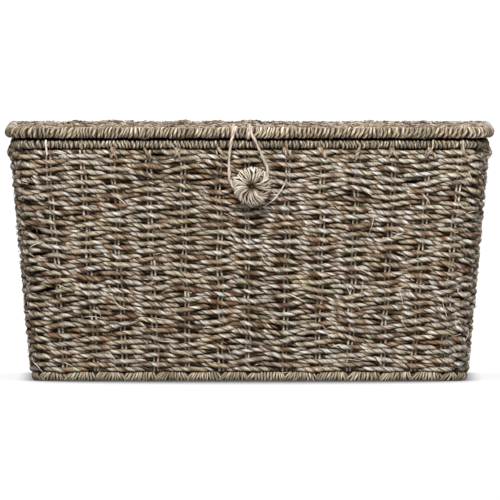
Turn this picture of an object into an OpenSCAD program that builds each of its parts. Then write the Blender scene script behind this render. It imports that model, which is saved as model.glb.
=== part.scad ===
// Seagrass storage trunk: a woven rectangular basket on a steel wire frame,
// with a hinged lid and a cord loop that hooks round a wrapped button.
// Millimetres. +Z up, front is -Y, left is -X, origin on the floor under the middle of the base.

/* [Lid] */
// Overall width of the lid, over the wrapped rim
lid_w = 491; // [440:1:520]
// Overall depth of the lid, over the wrapped rim
lid_d = 340; // [300:1:360]
// Radius of the wrapped lid rim
lid_rim_r = 5.75; // [5.5:0.05:5.9]
// Corner radius of the lid rim, on its centreline
lid_corner_r = 28; // [24:1:32]
// Thickness of the woven lid panel
lid_panel_t = 11; // [9:0.5:11]

/* [Body] */
// Height of the centre of the body's top rim
top_rim_z = 237.5; // [200:0.5:260]
// Radius of the wrapped top rim
top_rim_r = 4.5; // [4.3:0.05:4.6]
// Radius of the wrapped base rim
base_rim_r = 5; // [4.8:0.1:5.2]
// How far each wall leans in from the top rim to the base rim
taper = 21.5; // [14:0.5:26]
// Corner radius of the body's hoops, on their centreline
corner_r = 24; // [20:1:28]
// Thickness of the woven wall
wall_t = 11.4; // [10:0.2:12]

/* [Lid to body] */
// How far the lid rim's centreline stands outside the top rim's
overhang = 4.25; // [4:0.05:4.5]
// Height of the lid rim's centreline above the top rim's
lid_lift = 11.9; // [11.8:0.1:12.4]

/* [Frame wire] */
// Radius of the steel hoops and corner posts
rod_r = 2; // [1.5:0.1:2.2]
// Radius of the steel cross wires in the base and the lid
cross_r = 1.5; // [1:0.1:1.8]

/* [Stakes] */
// Stakes along the front and the back
stakes_long = 13; // [9:2:15]
// Stakes along each side
stakes_short = 9; // [5:2:9]
// Spacing of the long walls' stakes at the top rim
pitch_long = 34.8; // [28:0.1:35]
// Spacing of the side walls' stakes at the top rim
pitch_short = 33; // [28:0.1:34]
// Radius of one stake cord
cord_r = 1; // [0.8:0.05:1.1]
// Half the distance between the two cords of a stake
cord_gap = 1.9; // [1.5:0.1:2.4]
// How far left the front's middle stake stands, clear of the button's cord
stake_aside = 2.4; // [2.4:0.1:3]

/* [Hinge ties] */
// Distance of each tie from the middle of the back
tie_x = 121.8; // [100:0.1:125]
// Turns of cord in each tie
tie_turns = 3; // [2:1:4]
// Radius of the tie cord
tie_r = 1.2; // [1:0.1:1.6]

/* [Closure] */
// Outer radius of the button
button_r = 19.5; // [17:0.5:21]
// Thickness of the button
button_t = 13; // [11:0.5:14]
// Sideways place of the button
button_x = 2.5; // [-6:0.5:6]
// Height of the button's middle
button_z = 196; // [180:0.5:200]
// Radius of the button's cord shank
shank_r = 1.42; // [1.3:0.01:1.44]
// Radius of the loop's cord
loop_r = 1.4; // [1.2:0.05:1.5]

/* [Hidden] */
$fn = 48;

// Clearances
slip = 0.15;         // between neighbouring soft parts
steel_gap = 0.02;    // where one steel wire meets another
wrap_gap = 0.05;     // round a rod or ring inside its wrapping
channel_gap = 0.1;   // round wires and cords that run through the weave
mitre_gap = 0.1;     // from each wall's mitred end to the diagonal, along x
overcut = 1;         // how far cutting shapes run past the wall

// Heights
base_press = 0.4;    // the base rim is pressed flat where it stands
base_rim_z = base_rim_r - base_press;
lid_rim_z = top_rim_z + lid_lift;
wall_lo = base_rim_z + base_rim_r + slip;
wall_hi = top_rim_z - top_rim_r - slip;
base_panel_t = 9.4;
panel_z = lid_rim_z - 1.2;    // middle plane of the lid panel

// Half sizes [x, y] of the hoops' centrelines
lid_half = [lid_w / 2 - lid_rim_r, lid_d / 2 - lid_rim_r];
top_half = lid_half - [overhang, overhang];
base_half = top_half - [taper, taper];
mitre_x = base_half.x - base_half.y;    // where the corner diagonals meet the x axis

// Cross wires and lid stakes
lid_cross_x = 2.5 * pitch_long;         // midway between two stakes
base_taper = base_half.x / top_half.x;  // base stake spacing over top stake spacing
lid_cross_inset = 1.5;                  // ends of the lid's cross wires from the hoop's centreline
lid_stake_inset = 12;                   // ends of the lid's stakes from the panel's edge

// Hinge ties
tie_pitch = 2 * tie_r + 0.1;
tie_w = tie_turns * tie_pitch;
tie_lid_R = lid_rim_r + 0.2 + tie_r;    // cord centreline round the lid rim
tie_top_R = top_rim_r + 0.1 + tie_r;    // cord centreline round the top rim
tie_notch = [11.5, 12];                 // depth and height of the notch under the lid rim

// Loop's two turns round the lid rim
eye_r = 1;
eye_R = lid_rim_r + slip + eye_r;
eye_x = [-15.5, 0];

// Button; distances are forward of the origin
button_hole_r = 1.5;
core_r = 4;                             // rope ring inside the button
core_R = button_r - button_t / 2 - 1;
button_wall_y = half_at(button_z).y;    // wall's middle plane behind the button
button_back = button_wall_y + wall_t / 2 + 4.2;
button_front = button_back + button_t;
inner_face = button_wall_y - wall_t / 2;
shank_hole_r = 3.2;
inner_knot_r = 4;
outer_knot_r = 2.3;

steel = "dimgray";
grass = [0.56, 0.49, 0.38];
grass_light = [0.68, 0.61, 0.49];
cord_pale = [0.78, 0.71, 0.6];

// Half sizes of the wall's middle plane at height z
function half_at(z) =
    base_half + (top_half - base_half) * (z - base_rim_z) / (top_rim_z - base_rim_z);
// Middle of the corner arc of a body hoop, where the post stands
function post_at(half) = half - corner_r * (1 - cos(45)) * [1, 1];
// Evenly spaced places, centred on 0
function places(count, pitch) = [for (i = [0 : count - 1]) (i - (count - 1) / 2) * pitch];
function unit(v) = v / norm(v);

// ---------- shapes ----------
// A straight round rod
module rod(from, to, r) {
    run = to - from;
    length = norm(run);
    translate(from) rotate([0, acos(run.z / length), atan2(run.y, run.x)])
        rotate([0, 0, 25]) cylinder(r = r, h = length);
}

// A rounded rectangular hoop of round rod, flat at z = 0
module hoop(half, corner, r) {
    straight = half - [corner, corner];
    for (s = [-1, 1]) {
        translate([-straight.x, s * half.y, 0]) rotate([0, 90, 0])
            cylinder(r = r, h = 2 * straight.x);
        translate([s * half.x, straight.y, 0]) rotate([90, 0, 0])
            cylinder(r = r, h = 2 * straight.y);
    }
    for (q = [0 : 3]) {
        sx = (q == 0 || q == 3) ? 1 : -1;
        sy = q < 2 ? 1 : -1;
        translate([sx * straight.x, sy * straight.y, 0]) rotate([0, 0, 90 * q])
            rotate_extrude(angle = 90) translate([corner, 0]) circle(r = r);
    }
}

module base_hoop(r) translate([0, 0, base_rim_z]) hoop(base_half, corner_r, r);
module top_hoop(r) translate([0, 0, top_rim_z]) hoop(top_half, corner_r, r);
module lid_hoop(r) translate([0, 0, lid_rim_z]) hoop(lid_half, lid_corner_r, r);

// A rounded rectangular plate, its outline moved out by grow
module plate(half, corner, grow, z0, z1) {
    hx = half.x + grow;
    hy = half.y + grow;
    rc = corner + grow;
    translate([0, 0, z0]) linear_extrude(z1 - z0) {
        square([2 * hx, 2 * (hy - rc)], center = true);
        square([2 * (hx - rc), 2 * hy], center = true);
        for (sx = [-1, 1]) for (sy = [-1, 1])
            translate([sx * (hx - rc), sy * (hy - rc)]) circle(r = rc);
    }
}

// The block inside the tapered surface that lies grow outside the wall's middle plane
module tapered_block(grow, z0, z1) hull() for (z = [z0, z1])
    plate(half_at(z), corner_r, grow, z - 0.005, z + 0.005, $fn = 32);

// Room for cord wound round a rim that runs along x, in a band of the given width
module winding_room(x, y, z, winding_R, winding_r, width)
    translate([x - width / 2 - 0.6, y, z]) rotate([0, 90, 0])
        cylinder(r = winding_R + winding_r + 0.5, h = width + 1.2);

// ---------- steel frame ----------
module post(sx, sy, r) {
    foot = post_at(base_half);
    head = post_at(top_half);
    rod([sx * foot.x, sy * foot.y, base_rim_z], [sx * head.x, sy * head.y, top_rim_z], r);
}

module posts(r) for (sx = [-1, 1]) for (sy = [-1, 1]) post(sx, sy, r);

module base_hoop_rod() color(steel) base_hoop(rod_r);
module top_hoop_rod() color(steel) top_hoop(rod_r);

module corner_post(sx, sy) color(steel) difference() {
    post(sx, sy, rod_r);
    base_hoop(rod_r + steel_gap);
    top_hoop(rod_r + steel_gap);
}

module corner_post_front_left() corner_post(-1, -1);
module corner_post_front_right() corner_post(1, -1);
module corner_post_back_left() corner_post(-1, 1);
module corner_post_back_right() corner_post(1, 1);

// Two wires from front to back, at x either side of the middle
module cross_rods(x, reach, z, r) for (sx = [-1, 1])
    rod([sx * x, -reach, z], [sx * x, reach, z], r);

module base_cross_rods(r = cross_r) color(steel)
    cross_rods(lid_cross_x * base_taper, base_half.y - rod_r - steel_gap, base_rim_z, r);

module lid_cross_rods(r = cross_r) color(steel)
    cross_rods(lid_cross_x, lid_half.y - lid_cross_inset, panel_z, r);

module lid_hoop_rod() color(steel) difference() {
    lid_hoop(rod_r);
    lid_cross_rods(cross_r + steel_gap);
}

// ---------- wrapped rims ----------
module base_rim_wrap() color(grass_light) difference() {
    base_hoop(base_rim_r);
    base_hoop(rod_r + wrap_gap);
    posts(rod_r + channel_gap);
    base_cross_rods(cross_r + channel_gap);
    // everything below the floor
    translate([-300, -300, -20]) cube([600, 600, 20]);
}

module top_rim_wrap() color(grass_light) difference() {
    top_hoop(top_rim_r);
    top_hoop(rod_r + wrap_gap);
    posts(rod_r + channel_gap);
}

module lid_rim_wrap() color(grass_light) difference() {
    lid_hoop(lid_rim_r);
    lid_hoop(rod_r + wrap_gap);
    lid_cross_rods(cross_r + channel_gap);
}

// ---------- wall stakes ----------
// Points on a stake's cord at height z; stakes draw together as the wall narrows
function long_point(side, x, cord, z) = let (half = half_at(z))
    [x * half.x / top_half.x + cord * cord_gap, side * half.y, z];
function short_point(side, y, cord, z) = let (half = half_at(z))
    [side * half.x, y * half.y / top_half.y + cord * cord_gap, z];

// Both cords of every stake in the front (side = -1) or back (side = 1) wall
module long_stakes(side, r, extra = 0)
    for (place = places(stakes_long, pitch_long)) for (cord = [-1, 1]) {
        x = (side < 0 && abs(place) < 1) ? place - stake_aside : place;
        rod(long_point(side, x, cord, wall_lo - extra),
            long_point(side, x, cord, wall_hi + extra), r);
    }

// Both cords of every stake in the left (side = -1) or right (side = 1) wall
module short_stakes(side, r, extra = 0)
    for (y = places(stakes_short, pitch_short)) for (cord = [-1, 1])
        rod(short_point(side, y, cord, wall_lo - extra),
            short_point(side, y, cord, wall_hi + extra), r);

module wall_stakes_front() color(cord_pale) long_stakes(-1, cord_r);
module wall_stakes_back() color(cord_pale) long_stakes(1, cord_r);
module wall_stakes_left() color(cord_pale) short_stakes(-1, cord_r);
module wall_stakes_right() color(cord_pale) short_stakes(1, cord_r);

// ---------- woven walls ----------
// All four walls as one tapered ring
module wall_ring() difference() {
    tapered_block(wall_t / 2, wall_lo, wall_hi);
    tapered_block(-wall_t / 2, wall_lo - overcut, wall_hi + overcut);
}

// The spaces that hold the long and side walls, mitred at the corners
module long_part(side) linear_extrude(300) let (x = mitre_x - mitre_gap)
    polygon([[-x, 0], [x, 0], [x + 300, side * 300], [-x - 300, side * 300]]);

module short_part(side) linear_extrude(300) let (x = mitre_x + mitre_gap)
    polygon([[side * x, 0], [side * (x + 300), 300], [side * (x + 300), -300]]);

module long_wall(side) color(grass) difference() {
    intersection() {
        wall_ring();
        long_part(side);
    }
    posts(rod_r + channel_gap);
    long_stakes(side, cord_r + channel_gap, overcut);
    // the hinge ties pass the back wall, the button's shank the front
    if (side > 0) for (s = [-1, 1])
        winding_room(s * tie_x, top_half.y, top_rim_z, tie_top_R, tie_r, tie_w);
    if (side < 0) translate([button_x, -button_wall_y - wall_t, button_z])
        rotate([-90, 0, 0]) cylinder(r = shank_hole_r, h = 2 * wall_t);
}

module short_wall(side) color(grass) difference() {
    intersection() {
        wall_ring();
        short_part(side);
    }
    posts(rod_r + channel_gap);
    short_stakes(side, cord_r + channel_gap, overcut);
}

module wall_weave_front() long_wall(-1);
module wall_weave_back() long_wall(1);
module wall_weave_left() short_wall(-1);
module wall_weave_right() short_wall(1);

// ---------- base and lid panels ----------
// Both cords of every stake of a flat panel, from front to back
module flat_stakes(spread, reach, z, r)
    for (place = places(stakes_long, pitch_long)) for (cord = [-1, 1]) {
        x = place * spread + cord * cord_gap;
        rod([x, -reach, z], [x, reach, z], r);
    }

module base_stakes(r = cord_r, extra = 0) color(cord_pale)
    flat_stakes(base_taper, base_half.y - base_rim_r - slip + extra, base_rim_z, r);

module base_weave() color(grass) difference() {
    plate(base_half, corner_r, -base_rim_r - slip, 0, base_panel_t);
    base_stakes(cord_r + channel_gap, 2);
    base_cross_rods(cross_r + channel_gap);
    posts(rod_r + channel_gap);
}

module lid_stakes(r = cord_r, extra = 0) color(cord_pale)
    flat_stakes(1, lid_half.y - lid_rim_r - slip - lid_stake_inset + extra, panel_z, r);

module lid_weave() color(grass) difference() {
    plate(lid_half, lid_corner_r, -lid_rim_r - slip,
        panel_z - lid_panel_t / 2, panel_z + lid_panel_t / 2);
    lid_stakes(cord_r + channel_gap, 0.5);
    lid_cross_rods(cross_r + channel_gap);
    // room for the hinge ties and the loop's turns to pass round the rim
    for (s = [-1, 1]) {
        winding_room(s * tie_x, lid_half.y, lid_rim_z, tie_lid_R, tie_r, tie_w);
        translate([s * tie_x - tie_w / 2 - 0.6, lid_half.y - tie_notch[0], lid_rim_z - tie_notch[1]])
            cube([tie_w + 1.2, tie_notch[0], tie_notch[1]]);
    }
    for (x = eye_x) winding_room(x, -lid_half.y, lid_rim_z, eye_R, eye_r, 2 * eye_r);
}

// ---------- hinge ties ----------
// An arc of tie cord
module tie_arc(R, angle) rotate_extrude(angle = angle) translate([R, 0]) circle(r = tie_r, $fn = 24);

// One turn of cord round both rims: an arc round each rim, joined by two straight runs
module tie_turn() {
    span = norm([overhang, lid_lift]);
    lean = atan2(overhang, lid_lift);
    slant = asin((tie_lid_R - tie_top_R) / span);
    tangent = [cos(slant), -sin(slant), 0];
    // local x points backward and local y up; the lean then turns y from the top rim to the lid rim
    multmatrix([[0, 0, 1, 0], [1, 0, 0, top_half.y], [0, 1, 0, top_rim_z], [0, 0, 0, 1]])
    rotate([0, 0, -lean]) {
        translate([0, span, 0]) rotate([0, 0, -slant]) tie_arc(tie_lid_R, 180 + 2 * slant);
        rotate([0, 0, 180 + slant]) tie_arc(tie_top_R, 180 - 2 * slant);
        // the straight runs are a hair thinner and run on into the arcs,
        // so that each turn is one piece of cord
        for (s = [-1, 1]) {
            touch = [s * tangent.x, tangent.y, 0];
            low_end = tie_top_R * touch;
            high_end = [0, span, 0] + tie_lid_R * touch;
            run_on = (high_end - low_end) * 0.6 / span;
            rod(low_end - run_on, high_end + run_on, tie_r - 0.05);
        }
    }
}

module hinge_tie(side) color(grass_light) for (offset_x = places(tie_turns, tie_pitch))
    translate([side * tie_x + offset_x, 0, 0]) tie_turn();

module hinge_tie_left() hinge_tie(-1);
module hinge_tie_right() hinge_tie(1);

// ---------- closure loop ----------
// Points at a distance in front of the wall's face, and of the turns round the lid rim
function on_wall(x, z, out) = [x, -(half_at(z).y + wall_t / 2 + out), z];
function on_rim(x, drop, out) = [x, -lid_half.y - eye_R - out, lid_rim_z - drop];

// Middle line of the cord: down the left, round behind the button's shank, and up the right
loop_path = [
    on_rim(eye_x[0], 0, 0.5),
    on_rim(-18.6, 8, 0.3),
    on_wall(-20, 228, 3.6),
    on_wall(-20.6, button_z + 16.5, 1.8),
    on_wall(-20.6, button_z + 4.5, 1.7),
    on_wall(-16, button_z - 3, 1.7),
    on_wall(-6, button_z - 5.5, 1.7),
    on_wall(button_x, button_z - 6.1, 1.7),
    on_wall(11, button_z - 4.5, 1.7),
    on_wall(17.4, button_z + 3.5, 1.7),
    on_wall(18.6, button_z + 15.5, 1.9),
    on_wall(14.5, 224, 3.0),
    on_rim(6.5, 10, 0.3),
    on_rim(eye_x[1], 0, 0.5)
];

// Catmull-Rom point on a path, for t from 0 to 1
function spline(path, t) = let (
        last = len(path) - 1, i = min(floor(t * last), last - 1), u = t * last - i,
        a = path[max(i - 1, 0)], b = path[i], c = path[i + 1], d = path[min(i + 2, last)])
    0.5 * (2 * b + (c - a) * u + (2 * a - 5 * b + 4 * c - d) * u * u
        + (3 * b - a - 3 * c + d) * u * u * u);

// The cord as a tube: a ring of points at each step of the path, skinned with quads
module loop_cord() color(cord_pale) {
    steps = 54;
    sides = 8;
    nudge = 0.002;    // half the step in t that gives the path's direction
    points = [for (i = [0 : steps]) let (
            t = i / steps,
            middle = spline(loop_path, t),
            along = unit(spline(loop_path, min(t + nudge, 1)) - spline(loop_path, max(t - nudge, 0))),
            across = unit(cross(along, [0, 1, 0])),
            outward = cross(across, along))
        for (j = [0 : sides - 1]) let (angle = 360 * j / sides)
            middle + loop_r * (cos(angle) * across + sin(angle) * outward)];
    faces = concat(
        [[for (j = [0 : sides - 1]) j]],
        [for (i = [0 : steps - 1]) for (j = [0 : sides - 1]) let (k = (j + 1) % sides)
            [i * sides + j, (i + 1) * sides + j, (i + 1) * sides + k, i * sides + k]],
        [[for (j = [sides - 1 : -1 : 0]) steps * sides + j]]);
    polyhedron(points = points, faces = faces, convexity = 6);
}

module loop_eyes() color(cord_pale) for (x = eye_x) translate([x, -lid_half.y, lid_rim_z])
    rotate([0, 90, 0]) rotate_extrude() translate([eye_R, 0]) circle(r = eye_r, $fn = 24);

// ---------- button ----------
// Turns a profile about the button's axis, in its place in front of the wall
module button_turned() translate([button_x, -button_back - button_t / 2, button_z])
    rotate([90, 0, 0]) rotate_extrude() children();

module core_ring(r) button_turned() translate([core_R, 0]) circle(r = r);

module button_core() color(grass) core_ring(core_r);

// A flattened ring with a small hole, hollow for the core
module button_wrap() color(grass_light) difference() {
    button_turned() {
        translate([button_hole_r + button_t / 2, 0]) circle(r = button_t / 2);
        translate([button_r - button_t / 2, 0]) circle(r = button_t / 2);
        translate([button_hole_r + button_t / 2, -button_t / 2])
            square([button_r - button_hole_r - button_t, button_t]);
    }
    core_ring(core_r + wrap_gap);
}

// Cord through the weave, knotted inside the wall and in the button's hollow
module button_shank() color(cord_pale) translate([button_x, 0, button_z]) {
    front_end = button_front - 3;
    back_end = inner_face - 4;
    translate([0, -front_end, 0]) rotate([-90, 0, 0])
        cylinder(r = shank_r, h = front_end - back_end);
    translate([0, -(inner_face - 4.5), 0]) sphere(r = inner_knot_r);
    translate([0, -(button_front - 2.6), 0]) sphere(r = outer_knot_r);
}

base_hoop_rod();
base_rim_wrap();
base_cross_rods();
base_stakes();
base_weave();
corner_post_front_left();
corner_post_front_right();
corner_post_back_left();
corner_post_back_right();
top_hoop_rod();
top_rim_wrap();
wall_stakes_front();
wall_stakes_back();
wall_stakes_left();
wall_stakes_right();
wall_weave_front();
wall_weave_back();
wall_weave_left();
wall_weave_right();
hinge_tie_left();
hinge_tie_right();
lid_hoop_rod();
lid_rim_wrap();
lid_cross_rods();
lid_stakes();
lid_weave();
loop_cord();
loop_eyes();
button_shank();
button_core();
button_wrap();
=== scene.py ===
"""A lidded basket of two-ply seagrass rope woven round steel hoops, with a button and cord loop.

The basket stands on z = 0 around the origin: x runs to the right, the front faces -y, z is up,
and ties at the back hold the lid. Its parts are worked out in millimetres and scaled by MM;
the floor, lights and camera are in metres.
"""

import math
from collections import namedtuple

import bpy
import numpy as np
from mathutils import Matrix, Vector


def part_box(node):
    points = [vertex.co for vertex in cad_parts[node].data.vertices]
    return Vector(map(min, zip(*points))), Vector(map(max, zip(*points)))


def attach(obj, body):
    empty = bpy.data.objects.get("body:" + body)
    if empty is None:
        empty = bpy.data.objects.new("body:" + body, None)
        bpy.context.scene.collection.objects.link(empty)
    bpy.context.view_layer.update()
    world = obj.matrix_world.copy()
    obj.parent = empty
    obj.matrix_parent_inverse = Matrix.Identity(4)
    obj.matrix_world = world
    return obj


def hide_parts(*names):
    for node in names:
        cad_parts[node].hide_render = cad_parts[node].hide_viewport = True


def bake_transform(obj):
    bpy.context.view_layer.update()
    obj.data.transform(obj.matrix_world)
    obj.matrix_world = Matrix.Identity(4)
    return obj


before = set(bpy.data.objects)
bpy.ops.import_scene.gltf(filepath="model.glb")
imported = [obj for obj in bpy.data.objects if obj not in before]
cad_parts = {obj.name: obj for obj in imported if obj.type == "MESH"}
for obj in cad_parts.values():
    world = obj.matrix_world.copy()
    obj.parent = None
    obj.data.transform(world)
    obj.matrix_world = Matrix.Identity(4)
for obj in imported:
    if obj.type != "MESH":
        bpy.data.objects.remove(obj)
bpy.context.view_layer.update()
MM = 0.001
RNG = np.random.default_rng(588)
UP = np.array([0.0, 0.0, 1.0])
FORWARD = np.array([0.0, -1.0, 0.0])  # out of the front

# ---------------------------------------------------------------- sizes from the CAD, millimetres
# A rounded rectangle lying at height z; radius is that of the section wound round it
Hoop = namedtuple("Hoop", "half_x half_y corner z radius", defaults=(0.0,))


def span(node):
    lo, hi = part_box(node)
    return np.array(lo) / MM, np.array(hi) / MM


def middle_z(node):
    lo, hi = span(node)
    return (lo[2] + hi[2]) / 2


def wound_hoop(node, corner, rod=None):
    """The hoop inside a winding; its height comes from its rod where one is given."""
    hi = span(node)[1]
    z = middle_z(rod or node)
    radius = hi[2] - z
    return Hoop(hi[0] - radius, hi[1] - radius, corner, z, radius)


WALL_CORNER = 24.0
LID = wound_hoop("lid_rim_wrap", 28.0)
TOP = wound_hoop("top_rim_wrap", WALL_CORNER)
BASE = wound_hoop("base_rim_wrap", WALL_CORNER, rod="base_hoop_rod")
WALL_LO, WALL_HI = (end[2] for end in span("wall_weave_front"))
LID_PANEL_Z = middle_z("lid_weave")
LEAN = math.atan2(TOP.half_x - BASE.half_x, TOP.z - BASE.z)

button_lo, button_hi = span("button_wrap")
BUTTON_X, BUTTON_Y, BUTTON_Z = (button_lo + button_hi) / 2
BUTTON_HOLE = 2.6
BUTTON_OUTER = (button_hi[0] - button_lo[0]) / 2 - 1.2
BUTTON_TUBE = (button_hi[1] - button_lo[1]) / 2 - 1.0

N_FRONT, N_SIDE = 13, 9  # pairs of stakes in the front or back wall, and in a side wall
STAKE_INSET = 2.9        # from the end of the CAD's stakes to the middle of the last pair

# Lengths over which random wander repeats
ROPE_REPEAT, STRAND_REPEAT, STAKE_REPEAT = 4000, 2000, 700
WALL_REPEAT = 1440


# ---------------------------------------------------------------- small helpers
def unit(v):
    return v / np.maximum(np.linalg.norm(v, axis=-1, keepdims=True), 1e-12)


def square_to(v, heading):
    """v made square to heading, at unit length."""
    return unit(v - (v * heading).sum(-1, keepdims=True) * heading)


def headings(lines):
    """Direction along each of lines (count, steps, 3)."""
    return unit(np.gradient(lines, axis=1))


def step_up(x, lo, hi):
    t = np.clip((x - lo) / (hi - lo), 0, 1)
    return t * t * (3 - 2 * t)


def ring_angles(sides):
    return np.arange(sides) * 2 * math.pi / sides


def frac_hash(*keys):
    """A repeatable value from 0 to 1 for the keys."""
    x = np.zeros(np.broadcast(*keys).shape)
    for i, key in enumerate(keys):
        x = x + np.asarray(key, float) * (12.9898 + 37.719 * i)
    y = np.sin(x + 4.137) * 43758.5453
    return y - np.floor(y)


def choose(palette, *keys):
    pick = (frac_hash(*keys) * len(palette)).astype(int)
    return palette[np.minimum(pick, len(palette) - 1)]


def ripple(along, repeat, shortest, longest, size, waves=10):
    """Smooth random wander, closed over repeat, of waves from shortest to longest long.
    Each row of a two-dimensional along gets its own."""
    along = np.asarray(along, float)
    rows = len(along) if along.ndim == 2 else 1
    cycles = np.maximum(np.round(repeat / RNG.uniform(shortest, longest, (rows, waves))), 1)
    phase = RNG.uniform(0, 2 * math.pi, (rows, waves))
    angle = 2 * math.pi * along[..., None] / repeat * cycles[:, None, :] + phase[:, None, :]
    return (size * math.sqrt(2 / waves) * np.cos(angle).sum(-1)).reshape(along.shape)


class Field:
    """A smooth random field over along and across, closed over repeat in along."""

    def __init__(self, repeat, along_size, across_size, waves=26):
        sizes = RNG.uniform(along_size * 0.7, along_size * 1.8, waves)
        self.cycles = np.maximum(np.round(repeat / sizes), 0)
        self.slope = RNG.normal(0, 1.0 / across_size, waves)
        self.phase = RNG.uniform(0, 2 * math.pi, waves)
        self.repeat = repeat

    def __call__(self, along, across):
        turns = (np.asarray(along)[..., None] / self.repeat * self.cycles
                 + np.asarray(across)[..., None] * self.slope)
        waves = np.cos(2 * math.pi * turns + self.phase)
        return math.sqrt(2 / len(self.phase)) * waves.sum(-1)


def smooth(points, count):
    """A Catmull-Rom line of count evenly spaced points, and the distance along it."""
    points = np.array(points, float)
    ends = np.concatenate([[2 * points[0] - points[1]], points, [2 * points[-1] - points[-2]]])
    t = np.linspace(0, 1, 24, endpoint=False)[:, None]
    dense = []
    for before, here, there, after in zip(ends, ends[1:], ends[2:], ends[3:]):
        dense.append(0.5 * (2 * here + (there - before) * t
                            + (2 * before - 5 * here + 4 * there - after) * t * t
                            + (3 * here - before - 3 * there + after) * t ** 3))
    dense = np.concatenate(dense + [points[-1:]])
    steps = np.linalg.norm(np.diff(dense, axis=0), axis=1)
    distance = np.concatenate([[0], np.cumsum(steps)])
    along = np.linspace(0, distance[-1], count)
    return np.stack([np.interp(along, distance, dense[:, k]) for k in range(3)], -1), along


# ---------------------------------------------------------------- hoops
# The nine parts of a hoop from the middle of its front-left corner, counter-clockwise from above.
# Even parts are corner arcs, odd ones straight. Columns: signs of the corner's centre in x and y,
# direction of the outward side at the part's start in degrees.
HOOP_PARTS = np.array([
    (-1, -1, 225), (-1, -1, 270), (1, -1, 270), (1, -1, 0), (1, 1, 0),
    (1, 1, 90), (-1, 1, 90), (-1, 1, 180), (-1, -1, 180),
])


def hoop_point(along, hoop):
    """Points and outward directions at these distances along the hoop."""
    core = np.array([hoop.half_x - hoop.corner, hoop.half_y - hoop.corner])
    arc = hoop.corner * math.pi / 2
    front, side = 2 * core
    sizes = [arc / 2, front, arc, side, arc, front, arc, side, arc / 2]
    edges = np.concatenate([[0], np.cumsum(sizes)])
    along = np.mod(np.asarray(along, float), edges[-1])
    part = np.clip(np.searchsorted(edges, along, side="right") - 1, 0, 8)
    run = along - edges[part]
    straight = part % 2 == 1
    angle = np.radians(HOOP_PARTS[part, 2]) + np.where(straight, 0, run / hoop.corner)
    outward = np.stack([np.cos(angle), np.sin(angle)], -1)
    tangent = np.stack([-np.sin(angle), np.cos(angle)], -1)
    flat = (HOOP_PARTS[part, :2] * core + hoop.corner * outward
            + np.where(straight, run, 0)[..., None] * tangent)
    level = np.zeros(along.shape + (1,))
    return np.concatenate([flat, level + hoop.z], -1), np.concatenate([outward, level], -1)


def hoop_length(hoop):
    return (4 * (hoop.half_x - hoop.corner) + 4 * (hoop.half_y - hoop.corner)
            + 2 * math.pi * hoop.corner)


# ---------------------------------------------------------------- colours
def srgb(*colours):
    """Linear colours from 8-bit sRGB ones."""
    c = np.array(colours, float) / 255
    return np.where(c <= 0.04045, c / 12.92, ((c + 0.055) / 1.055) ** 2.4)


# Dried seagrass, from straw to rust and grey-green
PALETTE = srgb(
    (204, 190, 174), (192, 177, 160), (214, 202, 188), (178, 163, 147), (160, 145, 128),
    (150, 133, 115), (136, 117, 98), (198, 182, 164), (124, 103, 83), (222, 213, 201),
    (112, 86, 68), (150, 147, 122), (188, 173, 154), (214, 198, 182), (104, 86, 70),
    (170, 155, 132), (166, 161, 146), (214, 204, 194), (182, 166, 148), (92, 74, 58))
WRAP_PALETTE = srgb(
    (198, 184, 162), (184, 170, 150), (214, 202, 184), (168, 156, 136), (154, 146, 126),
    (172, 154, 135), (142, 129, 112), (192, 180, 162), (224, 214, 198), (148, 130, 110),
    (146, 142, 122), (202, 190, 170))
BUTTON_PALETTE = srgb(
    (226, 216, 200), (206, 192, 174), (240, 233, 220), (188, 170, 150), (160, 140, 118),
    (214, 206, 190), (196, 184, 168), (232, 224, 210), (150, 122, 94), (176, 160, 136))
STAKE_PALETTE = srgb(
    (196, 181, 162), (172, 156, 136), (208, 194, 176), (150, 133, 113), (182, 166, 146))
LOOP_PALETTE = srgb((228, 212, 198), (218, 202, 188), (234, 221, 208), (208, 191, 175))
END_PALETTE = srgb(
    (206, 190, 170), (182, 164, 144), (158, 138, 116), (194, 180, 162), (136, 112, 90))
STRAY_PALETTE = srgb((220, 206, 188), (204, 188, 168), (232, 222, 206), (186, 168, 146))
HAIR_PALETTE = srgb(
    (214, 200, 182), (190, 172, 150), (226, 216, 202), (150, 128, 104), (204, 192, 178),
    (120, 98, 78))
# near-black brown of the bundle under a winding: painted shade in the hollows between turns
BUNDLE_SHADE_COLOUR = srgb(44, 32, 22)
# the lid panel's tone: a warmer tint, and painted shade that dims the panel against the strong
# light on its upward face
LID_TINT_AND_SHADE = np.array([0.97, 0.91, 0.84])
# painted shade is browner than grey, so it takes more from the blue than from the red
PAINTED_SHADE_POWER = np.array([0.9, 1.04, 1.3])


def blade_colour(row, ply, sector, along, seed, palette, spread, shortest=45.0, longest=170.0):
    """Colour of the blade that shows: each sector of a ply is a run of blades laid end to end."""
    size = shortest + (longest - shortest) * frac_hash(row, ply, sector, seed)
    start = 400 * frac_hash(row, ply, sector, seed + 1.7)
    blade = np.floor((along + start) / size)
    light = 1 + spread * (2 * frac_hash(row, ply * 1.7, sector, blade * 1.1, seed + 5.3) - 1)
    return choose(palette, row * 1.3, ply, sector * 2.1, blade, seed + 3.1) * light[..., None]


def ring_sector(ring):
    """Which of three blades lies at each angle of a wound strand's section."""
    return np.floor((ring / (2 * math.pi) * 3 + 0.5) % 3)


# ---------------------------------------------------------------- materials
def add_node(tree, kind, inputs=None, **settings):
    """Adds a shader node. Each of its inputs gets a value, or a link from an output socket."""
    node = tree.nodes.new("ShaderNode" + kind)
    for key, value in settings.items():
        setattr(node, key, value)
    for key, value in (inputs or {}).items():
        if isinstance(value, bpy.types.NodeSocket):
            tree.links.new(value, node.inputs[key])
        else:
            node.inputs[key].default_value = value
    return node


def empty_material(name):
    material = bpy.data.materials.new(name)
    material.use_nodes = True
    material.node_tree.nodes.clear()
    return material, material.node_tree


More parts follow.
